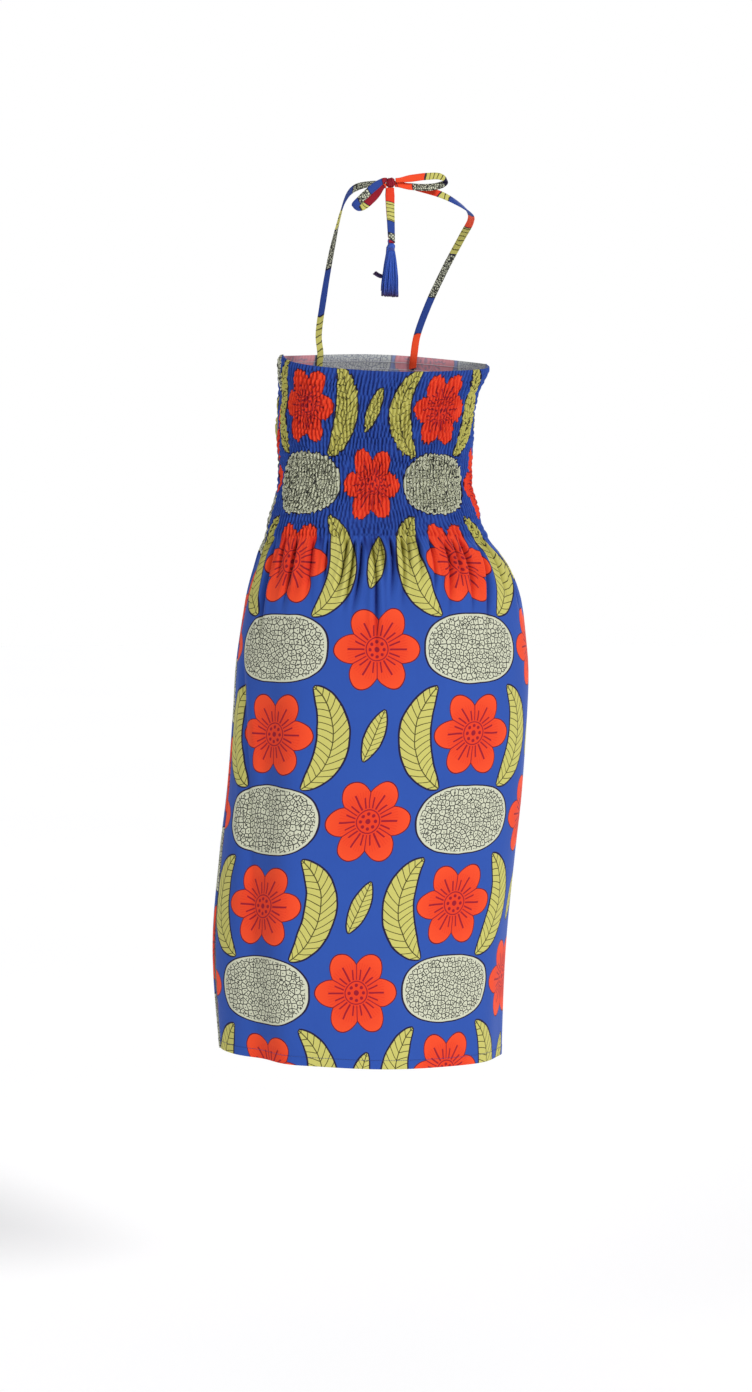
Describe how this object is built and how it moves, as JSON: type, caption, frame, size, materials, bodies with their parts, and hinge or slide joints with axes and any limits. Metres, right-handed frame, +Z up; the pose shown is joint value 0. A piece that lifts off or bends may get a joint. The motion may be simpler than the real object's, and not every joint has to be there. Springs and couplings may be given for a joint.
{
  "type": "tube dress",
  "caption": "Shirred strapless tube dress with a halter tie, worn hollow form, straight skirt below the knee.",
  "frame": {"origin": "middle of the chest inside the bodice, at the level of the top edge's sides and in the plane of the side seams, where the wearer holds the dress up", "axes": "+Z up towards the neck, -Y to the wearer's front, +X to the wearer's left"},
  "size_m": [0.394, 0.2567, 1.0837],
  "materials": {
    "printed_cloth": "soft matt printed viscose",
    "tie_cloth": "soft matt printed viscose, turned tube",
    "tassel_thread": "silky rayon thread"
  },
  "bodies": {
    "root": {"back_panel": "printed_cloth", "front_panel": "printed_cloth", "tie_left": "tie_cloth", "tie_right": "tie_cloth", "knot": "tie_cloth", "loop_left": "tie_cloth", "loop_right": "tie_cloth", "tie_end_outer": "tie_cloth", "tie_end_inner": "tie_cloth", "tassel_outer": "tassel_thread", "tassel_inner": "tassel_thread"}
  },
  "joints": []
}
